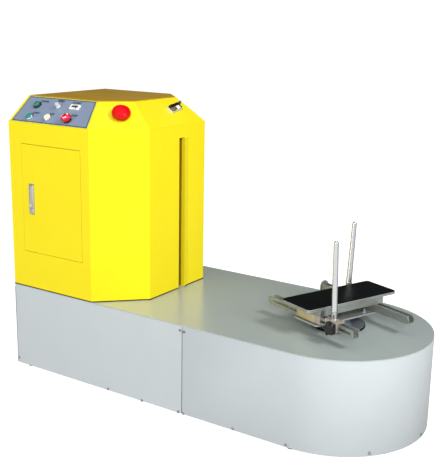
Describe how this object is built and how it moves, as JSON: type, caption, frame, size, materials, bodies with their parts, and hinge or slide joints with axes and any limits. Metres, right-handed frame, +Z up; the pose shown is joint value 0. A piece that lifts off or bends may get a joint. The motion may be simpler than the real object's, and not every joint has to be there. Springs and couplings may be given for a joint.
{
  "type": "turntable wrapper",
  "caption": "Free-standing stretch wrapper: a film tower on a long plinth with a half-round end, where a rubber-topped tray on slotted rails turns between clamp posts.",
  "frame": {"origin": "on the floor under the middle of the plinth", "axes": "+X from the film tower to the turntable, +Y from the door side to the back, +Z up"},
  "size_m": [1.69, 0.7061, 1.142],
  "materials": {
    "aluminium": "machined",
    "black_plastic": "moulded",
    "black_rubber": "smooth",
    "bright_steel": "polished",
    "brown_cover": "gloss powder coat",
    "deck_paint": "semi-gloss powder coat",
    "frame_steel": "matt primer",
    "green_plastic": "gloss",
    "grey_paint": "satin powder coat",
    "panel_overlay": "printed overlay",
    "red_plastic": "gloss",
    "stretch_film": "clear film on a roll",
    "white_plastic": "gloss",
    "yellow_paint": "gloss powder coat",
    "zinc_steel": "zinc plated"
  },
  "bodies": {
    "machine_frame": {"base_frame": "frame_steel", "bearing_housing": "frame_steel", "control_panel": "panel_overlay", "counter": "white_plastic", "deck_plate": "deck_paint", "door_hinge_lower": "zinc_steel", "door_hinge_upper": "zinc_steel", "drive_belt": "black_rubber", "electrics_box": "grey_paint", "end_skirt": "grey_paint", "foot_front_left": "black_rubber", "foot_front_right": "black_rubber", "foot_rear_left": "black_rubber", "foot_rear_right": "black_rubber", "front_skirt": "grey_paint", "gear_motor": "frame_steel", "guide_rod_left": "bright_steel", "guide_rod_right": "bright_steel", "height_sensor": "black_plastic", "jog_bezel": "bright_steel", "left_panel": "yellow_paint", "lift_motor": "frame_steel", "mast_head": "frame_steel", "power_lamp": "green_plastic", "rear_skirt": "grey_paint", "round_skirt": "grey_paint", "sensor_tray": "bright_steel", "start_bezel": "bright_steel", "top_cover": "brown_cover", "tower_hood": "yellow_paint", "tower_shell": "yellow_paint"},
    "turntable": {"spindle": "zinc_steel", "driven_pulley": "aluminium", "cross_plate": "zinc_steel", "near_rail": "zinc_steel", "far_rail": "zinc_steel", "platform_box": "zinc_steel", "tray": "bright_steel", "rubber_mat": "black_rubber"},
    "drive_pulley": {"motor_pulley": "aluminium"},
    "near_clamp": {"near_post": "bright_steel"},
    "near_clamp_knob": {"near_knob": "black_plastic"},
    "far_clamp": {"far_post": "bright_steel"},
    "far_clamp_knob": {"far_knob": "black_plastic"},
    "film_door": {"front_door": "yellow_paint", "lock_housing": "bright_steel"},
    "door_lever": {"lock_lever": "bright_steel"},
    "door_button": {"lock_button": "bright_steel"},
    "film_carriage": {"carriage_frame": "frame_steel"},
    "screw": {"lift_screw": "bright_steel"},
    "film_spool": {"film_mandrel": "aluminium", "film_roll": "stretch_film"},
    "idler": {"idler_roller": "black_rubber"},
    "dancer": {"dancer_arm": "zinc_steel"},
    "dancer_sleeve": {"dancer_roller": "aluminium"},
    "start_button": {"start_cap": "green_plastic"},
    "jog_button": {"jog_cap": "white_plastic"},
    "panel_stop": {"panel_stop_head": "red_plastic"},
    "palm_stop": {"palm_stop_head": "red_plastic"},
    "speed_dial": {"speed_knob": "white_plastic"}
  },
  "joints": [
    {"name": "turntable_spin", "type": "hinge", "parent": "machine_frame", "child": "turntable", "pos_m": [0.495, 0, 0.36], "axis": [0, 0, 1], "continuous": true},
    {"name": "motor_pulley_spin", "type": "hinge", "parent": "machine_frame", "child": "drive_pulley", "pos_m": [0.031, 0, 0.2653], "axis": [0, 0, 1], "continuous": true},
    {"name": "near_post_slide", "type": "slide", "parent": "turntable", "child": "near_clamp", "axis": [0.9304, -0.3665, 0], "range_m": [-0.028, 0.065]},
    {"name": "near_knob_turn", "type": "hinge", "parent": "near_clamp", "child": "near_clamp_knob", "pos_m": [0.56984, -0.19747, 0.4238], "axis": [-0.3665, -0.9304, 0], "continuous": true},
    {"name": "far_post_slide", "type": "slide", "parent": "turntable", "child": "far_clamp", "axis": [-0.9304, 0.3665, 0], "range_m": [-0.006, 0.085]},
    {"name": "far_knob_turn", "type": "hinge", "parent": "far_clamp", "child": "far_clamp_knob", "pos_m": [0.44063, 0.1894, 0.4238], "axis": [0.3665, 0.9304, 0], "continuous": true},
    {"name": "door_swing", "type": "hinge", "parent": "machine_frame", "child": "film_door", "pos_m": [-0.49, -0.342, 0.516], "axis": [0, 0, 1], "range_deg": [0, 105]},
    {"name": "lock_lever_swing", "type": "hinge", "parent": "film_door", "child": "door_lever", "pos_m": [-0.727, -0.3485, 0.7895], "axis": [-1, 0, 0], "range_deg": [0, 50]},
    {"name": "lock_button_press", "type": "slide", "parent": "film_door", "child": "door_button", "axis": [0, 1, 0], "range_m": [0, 0.004], "stiffness_N_per_m": 400, "springref_m": -0.001},
    {"name": "carriage_lift", "type": "slide", "parent": "machine_frame", "child": "film_carriage", "axis": [0, 0, 1], "range_m": [0, 0.27]},
    {"name": "lift_screw_turn", "type": "hinge", "parent": "machine_frame", "child": "screw", "pos_m": [-0.535, 0.235, 0.36], "axis": [0, 0, 1], "continuous": true},
    {"name": "film_spool_spin", "type": "hinge", "parent": "film_carriage", "child": "film_spool", "pos_m": [-0.61, -0.06, 0.41], "axis": [0, 0, 1], "continuous": true},
    {"name": "idler_spin", "type": "hinge", "parent": "film_carriage", "child": "idler", "pos_m": [-0.445, 0.085, 0.41], "axis": [0, 0, 1], "continuous": true},
    {"name": "dancer_swing", "type": "hinge", "parent": "film_carriage", "child": "dancer", "pos_m": [-0.375, 0.11, 0.41], "axis": [0, 0, 1], "range_deg": [-20, 20], "stiffness_Nm_per_rad": 3},
    {"name": "dancer_roller_spin", "type": "hinge", "parent": "dancer", "child": "dancer_sleeve", "pos_m": [-0.32, 0.035, 0.41], "axis": [0, 0, 1], "continuous": true},
    {"name": "start_press", "type": "slide", "parent": "machine_frame", "child": "start_button", "axis": [0, 0.6337, -0.7736], "range_m": [0, 0.004], "stiffness_N_per_m": 400, "springref_m": -0.002},
    {"name": "jog_press", "type": "slide", "parent": "machine_frame", "child": "jog_button", "axis": [0, 0.6337, -0.7736], "range_m": [0, 0.004], "stiffness_N_per_m": 400, "springref_m": -0.002},
    {"name": "panel_stop_press", "type": "slide", "parent": "machine_frame", "child": "panel_stop", "axis": [0, 0.6337, -0.7736], "range_m": [0, 0.006]},
    {"name": "palm_stop_press", "type": "slide", "parent": "machine_frame", "child": "palm_stop", "axis": [-0.4481, 0.4481, -0.7736], "range_m": [0, 0.008]},
    {"name": "speed_turn", "type": "hinge", "parent": "machine_frame", "child": "speed_dial", "pos_m": [-0.637, -0.27419, 1.1074], "axis": [0, -0.6337, 0.7736], "range_deg": [-150, 150]}
  ],
  "couplings": [
    {"joint": "motor_pulley_spin", "follows": "turntable_spin", "ratio": 3},
    {"joint": "lift_screw_turn", "follows": "carriage_lift", "rad_per_m": 125.66}
  ]
}
